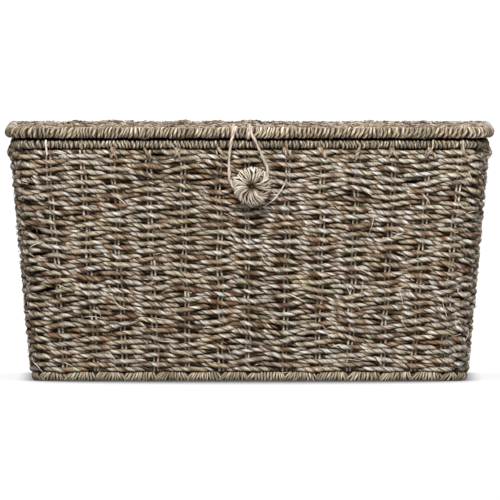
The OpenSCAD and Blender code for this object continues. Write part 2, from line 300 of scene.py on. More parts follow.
def fibre_material(name, fine=1.0, bump=0.5, rough=0.72, stain=0.3):
    """Plant fibre: the blade's own colour, streaked along the fibre and stained, with a bump."""
    material, tree = empty_material(name)
    fib = add_node(tree, "Attribute", attribute_name="fib").outputs["Vector"]
    tint = add_node(tree, "Attribute", attribute_name="tint").outputs["Color"]

    def combine(operation, first, second, clamp=False):
        return add_node(tree, "Math", {0: first, 1: second},
                        operation=operation, use_clamp=clamp).outputs[0]

    def streaks(along, around, detail, seed):
        mapping = add_node(tree, "Mapping", {
            "Location": (seed, seed * 0.7, seed * 1.3), "Scale": (along, around, around),
            "Vector": fib})
        return add_node(tree, "TexNoise", {
            "Scale": 1.0, "Detail": detail, "Roughness": 0.6,
            "Vector": mapping.outputs[0]}).outputs["Fac"]

    def spread(value, lo, hi):
        return add_node(tree, "MapRange", {
            "From Min": 0.3, "From Max": 0.7, "To Min": lo, "To Max": hi,
            "Value": value}).outputs["Result"]

    broad = streaks(along=0.45, around=0.8 * fine, detail=1.0, seed=3.1)
    thin = streaks(along=0.8, around=2.2 * fine, detail=2.0, seed=11.4)
    blotch = streaks(along=1.3, around=0.35, detail=2.0, seed=27.9)

    light = combine("MULTIPLY", spread(broad, 0.7, 1.24), spread(thin, 0.72, 1.18))
    streaked = add_node(tree, "VectorMath", {0: tint, "Scale": light}, operation="SCALE")
    stained = add_node(tree, "Mix", {
        "Factor": combine("MULTIPLY", spread(blotch, -0.35, 1.0), stain, clamp=True),
        6: streaked.outputs[0], 7: (0.5, 0.38, 0.28, 1),
    }, data_type="RGBA", blend_type="MULTIPLY")
    roughness = combine("ADD", spread(thin, -0.12, 0.12), rough)
    height = combine("ADD", combine("MULTIPLY", thin, 0.65), combine("MULTIPLY", broad, 0.8))
    relief = add_node(tree, "Bump", {"Strength": bump, "Distance": 0.0006, "Height": height})
    surface = add_node(tree, "BsdfPrincipled", {
        "Base Color": stained.outputs[2], "Roughness": roughness, "Specular IOR Level": 0.2,
        "Normal": relief.outputs[0]})
    add_node(tree, "OutputMaterial", {0: surface.outputs[0]})
    return material


def steel_material():
    """Dark, dull steel with faint rust mottling."""
    material = bpy.data.materials.new("steel_rod")
    material.use_nodes = True
    tree = material.node_tree
    coords = add_node(tree, "TexCoord")
    noise = add_node(tree, "TexNoise", {"Scale": 140, "Vector": coords.outputs["Object"]})
    ramp = add_node(tree, "ValToRGB", {"Fac": noise.outputs["Fac"]})
    dark, rusty = ramp.color_ramp.elements
    dark.position, rusty.position = 0.42, 0.7
    dark.color = (0.009, 0.008, 0.007, 1)
    rusty.color = (0.026, 0.018, 0.013, 1)
    surface = tree.nodes["Principled BSDF"]
    tree.links.new(ramp.outputs["Color"], surface.inputs["Base Color"])
    surface.inputs["Roughness"].default_value = 0.6
    surface.inputs["Specular IOR Level"].default_value = 0.2
    return material


# by the name of the slot each one fills
MATERIALS = {
    "seagrass_weave": fibre_material("seagrass_weave"),
    "seagrass_wrap": fibre_material("seagrass_wrap", stain=0.2),
    "paper_cord": fibre_material("paper_cord", fine=0.8, bump=0.4, stain=0.12, rough=0.7),
    "button_wrap": fibre_material("button_wrap", stain=0.2),
}


def paint_rods():
    steel = steel_material()
    rods = ["base_hoop_rod", "top_hoop_rod", "lid_hoop_rod", "base_cross_rods", "lid_cross_rods"]
    posts = [f"corner_post_{place}"
             for place in ("front_left", "front_right", "back_left", "back_right")]
    for name in rods + posts:
        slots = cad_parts[name].data.materials
        slots.clear()
        slots.append(steel)


# ---------------------------------------------------------------- tubes, ropes and strands
class Piece:
    """Collects tubes, then becomes one mesh."""

    def __init__(self):
        self.points, self.fib, self.tint, self.quads, self.caps = [], [], [], [], []
        self.count = 0

    def tubes(self, lines, axis_a, axis_b, half_a, half_b, colour, along, lobe=1.0, shade=1.0,
              closed=False):
        """Adds a tube round each of lines (count, steps, 3). Its section has half sizes half_a
        and half_b (count, steps) along axis_a and axis_b, where heading, axis_a and axis_b are
        right-handed. colour is (count, steps, sides, 3); along is in millimetres."""
        shape = lines.shape[:2] + (colour.shape[2],)
        ring = ring_angles(shape[2])
        cos, sin = np.cos(ring), np.sin(ring)
        points = (lines[:, :, None, :]
                  + (half_a[..., None] * cos * lobe)[..., None] * axis_a[:, :, None, :]
                  + (half_b[..., None] * sin * lobe)[..., None] * axis_b[:, :, None, :])
        parts = (along[..., None] / 10.0, cos * 2, sin * 2)
        fib = np.stack([np.broadcast_to(part, shape) for part in parts], -1)
        tint = np.ones(shape + (4,))
        tint[..., :3] = colour
        # painted shade: the shade factor darkens the colour, more in the blue than in the red
        tint[..., :3] *= np.asarray(shade)[..., None] ** PAINTED_SHADE_POWER

        here = self.count + np.arange(math.prod(shape)).reshape(shape)
        beside = np.roll(here, -1, axis=2)
        if closed:
            quads = [here, beside, np.roll(beside, -1, axis=1), np.roll(here, -1, axis=1)]
        else:
            quads = [here[:, :-1], beside[:, :-1], beside[:, 1:], here[:, 1:]]
            self.caps.append(np.concatenate([here[:, 0, ::-1], here[:, -1, :]], 0))
        self.quads.append(np.stack(quads, -1).reshape(-1, 4))
        self.points.append(points.reshape(-1, 3))
        self.fib.append(fib.reshape(-1, 3))
        self.tint.append(tint.reshape(-1, 4))
        self.count += here.size

    def build(self, name, body, slot, *nodes, floor=None):
        """Makes the mesh; body is a body's name to attach it to, or the arguments of a blend
        between two, which are not used: the mesh then only has its transform baked in.
        """
        points = np.concatenate(self.points) * MM
        if floor is not None:
            points[:, 2] = np.maximum(points[:, 2], floor * MM)
        faces = [np.concatenate(self.quads)] + self.caps
        corners = np.concatenate([face.ravel() for face in faces])
        sizes = np.concatenate([np.full(len(face), face.shape[1]) for face in faces])
        starts = np.concatenate([[0], np.cumsum(sizes)[:-1]])
        mesh = bpy.data.meshes.new(name)
        mesh.vertices.add(len(points))
        mesh.vertices.foreach_set("co", points.astype(np.float32).ravel())
        mesh.loops.add(len(corners))
        mesh.loops.foreach_set("vertex_index", corners.astype(np.int32))
        mesh.polygons.add(len(sizes))
        mesh.polygons.foreach_set("loop_start", starts.astype(np.int32))
        mesh.polygons.foreach_set("use_smooth", np.ones(len(sizes), bool))
        mesh.update(calc_edges=True)
        mesh.validate()
        fib = mesh.attributes.new("fib", "FLOAT_VECTOR", "POINT")
        fib.data.foreach_set("vector", np.concatenate(self.fib).astype(np.float32).ravel())
        tint = mesh.attributes.new("tint", "FLOAT_COLOR", "POINT")
        colours = np.clip(np.concatenate(self.tint), 0, 1)
        tint.data.foreach_set("color", colours.astype(np.float32).ravel())
        mesh.materials.append(MATERIALS[slot])
        thing = bpy.data.objects.new(name, mesh)
        bpy.context.scene.collection.objects.link(thing)
        if isinstance(body, tuple):
            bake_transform(thing)
        else:
            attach(thing, body)
        if nodes:
            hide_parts(*nodes)


def rope(piece, lines, outward, along, rows, lay, radius, seed, sides=8, ply_out=1.18,
         squeeze=0.86, swell=1.3, cut=1, dark=0.52, palette=PALETTE, spread=0.2, taper=1.0,
         depth=None, fat=1.0, tone=None, valley=0.0):
    """Lays two-ply rope along lines (count, steps, 3).

    along (count, steps) is millimetres along, rows (count,) seeds each line, and lay is the
    length of one turn of the plies. ply_out, squeeze and swell set where a ply lies and its
    half sizes away from the rope's middle and round it. cut points are dropped from each end once
    directions are known. dark deepens the painted shade in the groove between plies, and valley
    the painted shade on the sides that face the next row. depth is how far the line stands from
    the middle of the weave, so that hollows get painted shade.
    """
    steps = lines.shape[1]
    heading = headings(lines)
    outward = square_to(outward, heading)
    upward = np.cross(outward, heading)
    rows = np.asarray(rows, float)[:, None]
    turn = (2 * math.pi * along / lay + 2 * math.pi * frac_hash(rows, seed + 0.5)
            + ripple(along, ROPE_REPEAT, 60, 240, 0.5))
    size = (1 + ripple(along, ROPE_REPEAT, 25, 120, 0.06)) * fat
    ring = ring_angles(sides)
    cos, sin = np.cos(ring), np.sin(ring)
    plies = []
    for ply in range(2):
        angle = turn + math.pi * ply
        away = np.cos(angle)[..., None] * upward + np.sin(angle)[..., None] * outward
        uneven = np.clip(ripple(along, ROPE_REPEAT, 9, 60, 0.12), -0.2, 0.24)
        ply_size = size * (1 + uneven) * taper
        offset = (ply_out * radius / 1.6 * ply_size)[..., None] * away
        middle = lines + offset
        ply_heading = headings(middle)
        radial = square_to(away, ply_heading)
        sideways = np.cross(ply_heading, radial)
        half_radial, half_sideways = squeeze * radius * ply_size, swell * radius * ply_size

        # each ply is three twisted blades
        twist = (2 * math.pi * (frac_hash(rows, ply, seed + 9.1) + along / 58)
                 + ripple(along, ROPE_REPEAT, 20, 90, 0.5))[..., None]
        blade_turn = 3 * ring + twist
        lobe = 1 + 0.17 * np.cos(blade_turn) + 0.07 * np.cos(2 * ring - 1.7 * twist)
        sector = np.floor((blade_turn + math.pi) / (2 * math.pi)) % 3
        colour = blade_colour(rows[..., None], ply, sector, along[..., None], seed, palette,
                              spread)
        if tone is not None:
            # even a bleached blade stays short of white
            colour = 0.76 * np.tanh(colour * tone[..., None, :] / 0.76)

        def reach(side):
            """How far each point of the section stands towards side from the rope's middle."""
            return ((offset * side).sum(-1)[..., None]
                    + (half_radial * (radial * side).sum(-1))[..., None] * cos
                    + (half_sideways * (sideways * side).sum(-1))[..., None] * sin)

        # painted shade: the ply's outer face is lightest, and the groove between the plies and the
        # creases between its blades are darker
        groove = np.clip(0.36 + 0.78 * cos, 0, 1)
        shade = ((1 - dark) + dark * groove ** 0.9) * (0.8 + 0.2 * np.cos(blade_turn))
        # painted shade on the sides that face the next rows, stronger on the underside of wall
        # rows
        up = reach(upward) / (1.57 * radius)
        shade = shade * (1 - valley * step_up(up, 0.58, 0.98))
        shade = shade * (1 - valley * step_up(-up, 0.34, 0.88))
        # painted shade where the surface lies near the middle of the weave, in the hollows beside
        # the stakes
        if depth is not None:
            out = np.abs(depth[..., None] + reach(outward))
            shade = shade * np.clip(0.12 + 0.88 * out / 2.2, 0.12, 1)
        ply_along = along + 37 * ply + 311 * frac_hash(rows, ply, seed + 2.2)
        plies.append((middle, radial, sideways, half_radial, half_sideways, colour, ply_along,
                      lobe, shade))
    piece.tubes(*(np.stack(part, 1).reshape((-1,) + part[0].shape[1:])[:, cut:steps - cut]
                  for part in zip(*plies)))


def strands(piece, lines, outward, along, rows, radius, seed, sides=6, flat=0.6, cut=1,
            palette=STAKE_PALETTE, taper=1.0):
    """Lays single strands of grass along lines; flat is their thickness over their width."""
    heading = headings(lines)
    outward = square_to(outward, heading)
    across = np.cross(outward, heading)
    rows = np.asarray(rows, float)[:, None]
    size = (1 + ripple(along, STRAND_REPEAT, 12, 50, 0.09)) * taper
    sector = np.floor((ring_angles(sides) / (2 * math.pi) * 2) % 2)
    colour = blade_colour(rows[..., None], 0.0, sector, along[..., None], seed, palette, 0.1,
                          shortest=60, longest=160)
    parts = (lines, across, outward, radius * size, radius * flat * size, colour,
             along + 57 * rows)
    piece.tubes(*(part[:, cut:lines.shape[1] - cut] for part in parts))


def alone(line, outward, along, row):
    """One line (steps, 3) in the form that takes many."""
    return line[None], np.broadcast_to(outward, line.shape)[None], along[None], np.array([row])


def strand(piece, line, outward, along, row, radius, seed, **look):
    strands(piece, *alone(line, outward, along, row), radius, seed, cut=0, **look)


def cord(piece, line, outward, along, row, radius, seed, sides=6, lay=7.0,
         palette=STAKE_PALETTE, taper=1.0, dark=0.35):
    """A tight, smooth two-ply cord along one line."""
    rope(piece, *alone(line, outward, along, row), lay, radius, seed, sides=sides, ply_out=0.85,
         squeeze=0.9, swell=1.05, cut=0, dark=dark, palette=palette, spread=0.08, taper=taper)


# ---------------------------------------------------------------- layout of the walls
def stake_places(node, axis, pairs):
    """Even places for pairs of stakes across the CAD node's extent."""
    lo, hi = span(node)
    half = (hi[axis] - lo[axis]) / 2 - STAKE_INSET
    return np.linspace(-half, half, pairs)


front_x = stake_places("wall_stakes_front", 0, N_FRONT)
side_y = stake_places("wall_stakes_left", 1, N_SIDE)
# stakes are set by eye, so they stray a little from even spacing
front_stray = np.array([5.5, 5.5, 2, 2, 1.5, 3.5, -2.5, 4, 5, 5, 6.5, 6, 3.5])
back_stray = RNG.uniform(-3, 3, N_FRONT)
left_stray = RNG.uniform(-3, 3, N_SIDE)
right_stray = RNG.uniform(-3, 3, N_SIDE)


def wall_hoop(z):
    """The walls' outline at height z."""
    share = (z - BASE.z) / (TOP.z - BASE.z)
    return Hoop(BASE.half_x + (TOP.half_x - BASE.half_x) * share,
                BASE.half_y + (TOP.half_y - BASE.half_y) * share, WALL_CORNER, z)


def wall_out(outward):
    """Square out of the leaning wall."""
    return outward * math.cos(LEAN) - UP * math.sin(LEAN)


def stake_stations(z):
    """Distance along the wall at height z of each post and stake, from the front-left post
    round to it again."""
    hoop = wall_hoop(z)
    half_arc = WALL_CORNER * math.pi / 4
    front = (hoop.half_x - WALL_CORNER, hoop.half_x / TOP.half_x)
    side = (hoop.half_y - WALL_CORNER, hoop.half_y / TOP.half_y)
    stations, post = [0.0], 0.0
    for places, (half, scale) in ((front_x + front_stray, front), (side_y + right_stray, side),
                                  (front_x + back_stray, front), (side_y + left_stray, side)):
        middle = post + half_arc + half
        post = middle + half + half_arc
        stations += [*(middle + places * scale), post]
    return np.array(stations)


def stakes_at(z, hoop):
    """Where the posts and stakes at height z meet a hoop, as distances along it."""
    stations = stake_stations(z)
    return stations[:-1] / stations[-1] * hoop_length(hoop)


# stations of the corner posts at the two ends of each wall
WALLS = {"front": (0, 14), "right": (14, 24), "back": (24, 38), "left": (38, 48)}
ROWS = 51
ROW_Z = WALL_LO + (np.arange(ROWS) + 0.5) * ((WALL_HI - WALL_LO) / ROWS)
ROW_STEP = 2.0        # between points along a row
PLY_RADIUS = 1.66
WEAVE_REACH = 3.0     # how far a front row swings in and out of the stakes

sway_row = Field(WALL_REPEAT, 75, 60)
sway_fine = Field(WALL_REPEAT, 34, 20)
sway_out = Field(WALL_REPEAT, 60, 14)
tone_light = Field(WALL_REPEAT, 110, 46)
tone_warm = Field(WALL_REPEAT, 70, 40)
row_jitter = RNG.normal(0, 0.12, ROWS)

# Places where two rows stand apart and the dark inside shows. Columns: distance from the wall's
# middle, height, half length, half height, how far they part.
OPENINGS = {"front": [
    (-92, 227.5, 8, 3.2, 1.5), (-101, 227.0, 5, 3.0, 1.0), (88, 227.5, 7, 3.2, 1.4),
    (106, 227.0, 6, 3.0, 1.3), (-222, 197.5, 8, 5.5, 2.9), (-220, 178.5, 7, 4.5, 2.3),
    (-213, 149.0, 8, 5.5, 2.9), (-209, 129.0, 9, 5.0, 2.5), (-204, 92.0, 7, 4.5, 2.0),
    (222, 186.0, 7, 5.0, 0.8), (217, 158.0, 6, 5.0, 0.7), (211, 120.0, 6, 4.5, 0.6),
    (205, 84.0, 6, 4.5, 0.6), (-29, 194.0, 7, 5.0, 1.9), (31, 194.5, 8, 5.0, 1.6),
    (66, 121.0, 7, 5.0, 1.0), (-61, 88.0, 8, 5.0, 1.0), (140, 66.0, 7, 5.0, 1.0),
    (58, 44.0, 7, 4.5, 1.0), (-140, 47.0, 7, 4.5, 1.0), (162, 203.0, 7, 4.5, 0.9),
    (-150, 171.0, 6, 4.5, 0.9), (97, 92.0, 6, 4.5, 0.9), (12, 66.0, 7, 4.5, 0.9),
    (-95, 120.0, 6, 4.5, 0.9), (120, 150.0, 6, 4.5, 0.9), (-170, 100.0, 6, 4.5, 0.9),
]}
for wall, reach_x, count in (("back", 200, 16), ("left", 128, 11), ("right", 128, 11)):
    OPENINGS[wall] = [(RNG.uniform(-reach_x, reach_x), RNG.uniform(35, 226), RNG.uniform(5, 8),
                       RNG.uniform(3.5, 5), RNG.uniform(0.3, 0.8)) for _ in range(count)]


# ---------------------------------------------------------------- wall weave
def weave_wave(plain):
    """A row runs nearly straight from in front of one stake to behind the next."""
    return np.arcsin(0.94 * plain) / math.asin(0.94)


def wall_row(row, wall, along, stations):
    """One row's line, outward side, distance along, depth, fatness and tone."""
    z = ROW_Z[row]
    front = wall == "front"
    start, end = (stations[post] for post in WALLS[wall])
    total = stations[-1]
    station = np.interp(np.mod(along, total), stations, np.arange(len(stations)))
    around = along / total * WALL_REPEAT
    points, outward = hoop_point(along, wall_hoop(z))
    out = wall_out(outward)
    up = outward * math.sin(LEAN) + UP * math.cos(LEAN)

    plain = np.cos(math.pi * (station + 0.07 * sway_fine(around, z * 1.6 + 30)))
    plain = plain * (1 if row % 2 else -1)
    reach = WEAVE_REACH if front else WEAVE_REACH - 0.4
    reach = reach * (1 + 0.1 * sway_out(around, z * 1.7 + 50))
    # rows stand out more where they pass round a corner post
    at_post = np.minimum(np.abs(along - start), np.abs(end - along))
    depth = weave_wave(plain) * reach * (1 + 0.3 * np.exp(-(at_post / 9) ** 2))

    from_top = ROWS - 1 - row
    edge = min(row, from_top)
    calm = min(1.0, 0.25 + edge / 4)
    coarse, fine = (1.2, 0.42) if front else (1.0, 0.3)
    lift = calm * (coarse * sway_row(around, z) + fine * sway_fine(around, z)) + row_jitter[row]
    if from_top < 3:
        # in front the last rows hang a little below the rim, elsewhere they are beaten up to it
        lift = lift + (0.75, 0.5, 0.25)[from_top] * (-1.5 if front else 1.8)
    middle = (start + end) / 2
    for hole_x, hole_z, half_long, half_high, apart in OPENINGS[wall]:
        bell = np.exp(-((along - middle - hole_x) / half_long) ** 2)
        above = z - hole_z
        lift = lift + (apart * bell * math.tanh(above / 1.2)
                       * math.exp(-(above / (half_high * 1.6)) ** 2))
        near = math.exp(-(above / 2.9) ** 2)
        # the rows there sink back into the weave, which darkens them with painted shade as well as
        # real shade
        depth = depth - (depth + 3.4) * bell * near * min(apart, 1.0) * 0.85

    fat = 0.99 + 0.1 * plain ** 2
    light = 1.8 * (1 + 0.09 * tone_light(around, z))
    warm = np.clip(0.03 + 0.05 * tone_warm(around, z), -0.02, 0.14)
    if front:
        # the rows are packed tighter towards the front's right edge; there they are also a little
        # cooler, and painted lighter as painted light that evens out the key lamp's fall-off to
        # the right
        fat = (fat + 0.16 * np.exp(-((end - along) / 16) ** 2)
               + 0.05 * np.exp(-((along - start) / 12) ** 2))
        # painted light: the front's colour grows lighter towards its right edge
        right_painted_light = step_up(points[:, 0], -60.0, 200.0)
        light = light * (1.0 + 0.16 * right_painted_light)
        warm = warm - 0.02 * right_painted_light
    elif from_top < 5:
        fat = fat + 0.16
    elif edge == 0:
        fat = fat + 0.1
    tone = light[:, None] * np.stack(
        [0.985 + 0.6 * warm, 0.99 - 0.3 * warm, 1.04 - 1.4 * warm], -1)
    line = points + out * depth[:, None] + up * lift[:, None]
    return line, out, along, depth, fat, tone


def wall_rows(wall, rows):
    """Stacked values of these rows of a wall, with one spare point at each end."""
    first, last = WALLS[wall]
    stations = np.array([stake_stations(ROW_Z[row]) for row in rows])
    length = stations[:, last] - stations[:, first]
    count = int(round(length.mean() / ROW_STEP)) + 1
    step = length / (count - 1)
    along = stations[:, first, None] + step[:, None] * np.arange(-1, count + 1)[None, :]
    made = [wall_row(row, wall, along[i], stations[i]) for i, row in enumerate(rows)]
    return [np.array(part) for part in zip(*made)]


def row_bands(rows, bands):
    """First and end row of each of the bands that share out the rows."""
    cuts = np.linspace(0, rows, bands + 1).round().astype(int)
    return enumerate(zip(cuts, cuts[1:]), 1)


def weave_walls():
    for wall in WALLS:
        long_wall = wall in ("front", "back")
        for band, (first, end) in row_bands(ROWS, 3 if long_wall else 2):
            rows = np.arange(first, end)
            line, out, along, depth, fat, tone = wall_rows(wall, rows)
            piece = Piece()
            rope(piece, line, out, along, rows, lay=19.0,
                 radius=PLY_RADIUS if wall == "front" else PLY_RADIUS + 0.12, seed=1.0,
                 sides=10, depth=depth, fat=fat, tone=tone, valley=0.8, spread=0.28)
            piece.build(f"weave_{wall}_{band}", "basket", "seagrass_weave",
                        f"wall_weave_{wall}")


def wall_stakes():
    """Pairs of strands that the wall's rows pass in front of and behind."""
    heights = np.arange(WALL_LO - 3, WALL_HI + 3.1, 3.0)
    stations = np.array([stake_stations(z) for z in heights])
    ends = np.clip((WALL_HI - heights) / 30, 0, 1) * np.clip((heights - WALL_LO) / 30, 0, 1)
    for wall, (first, last) in WALLS.items():
        piece = Piece()
        lines, outs, rows = [], [], []
        for station in range(first + 1, last):
            stray = ripple(heights, STAKE_REPEAT, 40, 130, 0.8) * ends
            for side in (-1, 1):
                gap = 1.85 + ripple(heights, STAKE_REPEAT, 25, 80, 0.3)
                around = stations[:, station] + side * gap + stray
                made = [hoop_point(at, wall_hoop(z)) for at, z in zip(around, heights)]
                points, outward = (np.array(part) for part in zip(*made))
                out = wall_out(outward)
                stand = 0.1 + ripple(heights, STAKE_REPEAT, 16, 60, 0.3)
                lines.append(points + out * stand[:, None])
                outs.append(out)
                rows.append(station * 2 + side)
        lines = np.array(lines)
        along = np.broadcast_to(heights, lines.shape[:2])
        strands(piece, lines, np.array(outs), along, rows, 1.05, 21.0, flat=0.85)
        piece.build(f"stakes_{wall}", "basket", "paper_cord", f"wall_stakes_{wall}")


# ---------------------------------------------------------------- flat panels: lid and base
PANEL_PITCH = 4.42
PANEL_EDGE = 3.2      # rows end this far inside the hoop's middle line, front and back


def flat_panel(hoop, z, stake_x, swing, step, sway, crown=None):
    """Rows along x, in and out of stakes at stake_x, ending inside the hoop's winding.
    Gives their lines, distance along and depth."""
    field = Field(1000, 60, 22)
    depth_y = 2 * (hoop.half_y - PANEL_EDGE)
    rows = int(round(depth_y / PANEL_PITCH))
    y = ((np.arange(rows) - (rows - 1) / 2) * (depth_y / rows))[:, None]
    over = np.maximum(0.0, np.abs(y) - (hoop.half_y - hoop.corner))
    half = hoop.half_x - hoop.corner + np.sqrt(np.maximum(hoop.corner ** 2 - over * over, 0))
    x = half * np.linspace(-1, 1, int(round(2 * hoop.half_x / step)) + 1)

    stations = np.concatenate([[-hoop.half_x], stake_x, [hoop.half_x]])
    station = np.interp(x, stations, np.arange(len(stations)))
    side = np.where(np.arange(rows) % 2, 1, -1)[:, None]
    wave = weave_wave(np.cos(math.pi * station) * side)
    ease = np.clip((half - np.abs(x)) / 14, 0.0, 1.0)
    height = (z + wave * swing * (0.25 + 0.75 * ease) * (1 + 0.14 * field(x + 300, y * 2 + 40))
              + 0.35 * ease * field(x * 1.7 + 700, y * 3))
    if crown is not None:
        height = height + crown(x, y)
    near_rim = np.minimum(1.0, 0.3 + (hoop.half_y - np.abs(y)) / 20)
    swayed_y = y + sway * ease * field(x + 500, y) * near_rim
    return np.stack([x, swayed_y, height], -1), x + hoop.half_x, wave * swing * (0.4 + 0.6 * ease)


def lid_crown(x, y):
    """The lid's panel stands a little proud near the middle, where the loop pulls on it."""
    return (1.6 * np.exp(-((x + 16) / 34) ** 2) * (0.6 + 0.4 * np.cos(y / 60))
            + 0.9 * np.exp(-((x + 146) / 18) ** 2) + 0.2 * np.cos(x / 47 + 1.1)
            + 0.4 * np.cos(x / 13 + 0.4 + y / 30) + 0.35 + 1.0 * step_up(y, 70.0, 150.0))


def weave_panel(name, body, panel, bands, first_row, floor=None, **look):
    lines, along, depth = panel
    for band, (first, end) in row_bands(len(lines), bands):
        part = slice(first, end)
        piece = Piece()
        rope(piece, lines[part], np.broadcast_to(UP, lines[part].shape), along[part],
             np.arange(first, end) + first_row, depth=depth[part], **look)
        piece.build(f"weave_{name}_{band}", body, "seagrass_weave", f"{name}_weave", floor=floor)


def panel_stakes(name, body, stake_x, half, z):
    """Pairs of strands from front to back under and over the panel's rows."""
    piece = Piece()
    y = np.arange(-half, half + 0.1, 4.0)
    lines = []
    for x in stake_x:
        for side in (-1, 1):
            lines.append(np.stack([x + side * 1.9 + ripple(y, STAKE_REPEAT, 30, 90, 0.2), y,
                                   z + ripple(y, STAKE_REPEAT, 20, 60, 0.15)], -1))
    lines = np.array(lines)
    rows = [i * 2 + side + 60 for i in range(len(stake_x)) for side in (-1, 1)]
    strands(piece, lines, np.broadcast_to(UP, lines.shape),
            np.broadcast_to(y, lines.shape[:2]) + 500.0, rows, 1.0, 23.0, flat=0.85)
    piece.build(f"stakes_{name}", body, "paper_cord", f"{name}_stakes")


def panels():
    lid_x = stake_places("lid_stakes", 0, N_FRONT)
    panel = flat_panel(LID, LID_PANEL_Z, lid_x + RNG.uniform(-2, 2, N_FRONT), swing=2.25,
                       step=2.2, sway=0.6, crown=lid_crown)
    weave_panel("lid", "lid", panel, bands=4, first_row=200, lay=18.0, radius=PLY_RADIUS + 0.3,
                seed=5.0, sides=9, valley=0.6, spread=0.7, dark=0.92, tone=LID_TINT_AND_SHADE)

    base_x = stake_places("base_stakes", 0, N_FRONT)
    panel = flat_panel(BASE, middle_z("base_weave") + 0.15, base_x, swing=2.0, step=2.8,
                       sway=0.5)
    weave_panel("base", "basket", panel, bands=2, first_row=400, floor=0.0, lay=20.0,
                radius=1.4, seed=7.0, sides=7, valley=0.4, spread=0.3)

    panel_stakes("lid", "lid", lid_x, LID.half_y - 3, LID_PANEL_Z + 0.3)
    panel_stakes("base", "basket", base_x, BASE.half_y - 2, BASE.z)


# ---------------------------------------------------------------- wound rims
def rim_bundle(piece, hoop, thick, seed):
    """The bundle of grass under the winding, which closes the hollows between turns; its
    near-black colour is painted shade for those hollows.
    """
    sides = 12
    length = hoop_length(hoop)
    along = np.linspace(0, length, int(length / 5), endpoint=False)
    points, outward = hoop_point(along, hoop)
    radius = np.full((1, len(along)), hoop.radius - thick * 0.62)
    light = 0.8 + 0.4 * frac_hash(np.arange(float(sides)), seed)
    colour = np.broadcast_to(BUNDLE_SHADE_COLOUR, (1, len(along), sides, 3)) * light[:, None]
    piece.tubes(points[None], outward[None], np.broadcast_to(UP, (1,) + points.shape), radius,
                radius, colour, along[None], closed=True)


def winding(piece, hoop, width, thick, seed, lean, twist, sides=8, steps=14, bright=1.0,
            hand=1.0, gathers=None):
    """One long two-part strand wound round a hoop, with turns of uneven width, lean and colour.
    hand is the way it winds, and gathers are the stakes its turns splay away from."""
    length = hoop_length(hoop)
    turns = int(round(length / width))
    widths = 1 + 0.22 * np.clip(RNG.normal(0, 1, turns), -1.7, 1.7)
    widths = widths / widths.sum() * length
    edges = np.concatenate([[0], np.cumsum(widths)])
    turn = np.arange(turns * steps + 1) / steps
    along = np.interp(turn, np.arange(turns + 1), edges)
    angle = 2 * math.pi * turn * hand
    cos, sin = np.cos(angle), np.sin(angle)
    width_here = np.interp(turn - 0.5, np.arange(turns), widths)
    jitter = np.interp(turn, np.arange(turns + 1), RNG.normal(0, 0.2, turns + 1))
    shift = lean * 1.3 * np.tanh(ripple(along, length, 14, 90, 1.0) / 1.3) * sin
    # turns bow sideways where they were pushed together, most towards the right of the front
    place = hoop_point(along, hoop)[0]
    bow = (0.7 * ripple(along, length, 30, 140, 0.8)
           + 1.1 * step_up(place[:, 0], -30.0, 110.0) * (place[:, 1] < 0))
    if gathers is None:
        shift = shift + bow * cos
    else:
        # turns beside a stake splay away from it into a V
        from_stakes = np.mod(along[:, None] - gathers[None, :] + length / 2, length) - length / 2
        nearest = np.abs(from_stakes).argmin(1)
        near = from_stakes[np.arange(len(along)), nearest]
        shift = shift + np.sign(near) * 2.9 * np.exp(-(np.abs(near) / 8.5) ** 1.5) * sin
    points, outward = hoop_point(along + shift, hoop)
    radius = hoop.radius - thick / 2 - 0.42 + jitter
    away = cos[:, None] * outward + sin[:, None] * UP
    lines = (points + radius[:, None] * away)[None]
    heading = headings(lines)
    away = square_to(away[None], heading)
    across = np.cross(away, heading)
    rim_bundle(piece, hoop, thick, seed)

    # the strand is two blades twisted together, which cross once or so on each turn's outer face
    turn_id = np.floor(turn)
    loose = np.interp(turn, np.arange(turns + 1), RNG.normal(0, 1, turns + 1))
    roll = twist * angle * hand / 2 + 1.1 * loose + 0.8 * turn_id
    ring = ring_angles(sides)
    # painted shade in the hollow between two turns
    groove = 0.05 + 0.95 * np.clip(-0.62 + 1.7 * np.sin(ring), 0, 1)
    for blade, side in enumerate((-1, 1)):
        offset = ((side * np.cos(roll) * width_here * 0.215)[None, :, None] * across
                  + (side * np.sin(roll) * thick * 0.16 - 0.1)[None, :, None] * away)
        turn_colour = choose(WRAP_PALETTE, turn_id[:, None],
                             ring_sector(ring)[None, :] * 0.37 + blade * 1.3, seed)
        run_colour = choose(WRAP_PALETTE, np.floor(turn / 5.3), blade, seed + 4.4)
        # painted shade: the turns at the left and right ends of the hoop are darker, so the key
        # light doesn't burn them pale
        light = (bright * (0.7 + 0.66 * frac_hash(turn_id, blade, seed + 8.8))
                 * (1 - 0.24 * outward[:, 0] ** 2))
        colour = (0.6 * turn_colour + 0.4 * run_colour[:, None, :]) * light[:, None, None]
        # painted shade on the blade that lies under the other
        under = 0.4 + 0.6 * np.clip(0.5 + 0.85 * side * np.sin(roll), 0, 1)
        wobble = np.cos(3 * ring + (turn_id * 2.4 + blade)[:, None])
        lobe = 1 + 0.08 * wobble + 0.32 * step_up(-np.sin(ring), -0.35, 0.3)
        half_width = (width_here * (0.225 + 0.115 * np.sin(roll) ** 2))[None]
        strand_along = turn * 2 * math.pi * radius + 91 * blade
        piece.tubes(lines + offset, across, away, half_width,
                    np.full_like(half_width, thick / 2), colour[None], strand_along[None],
                    lobe=lobe[None], shade=(groove * under[:, None])[None])


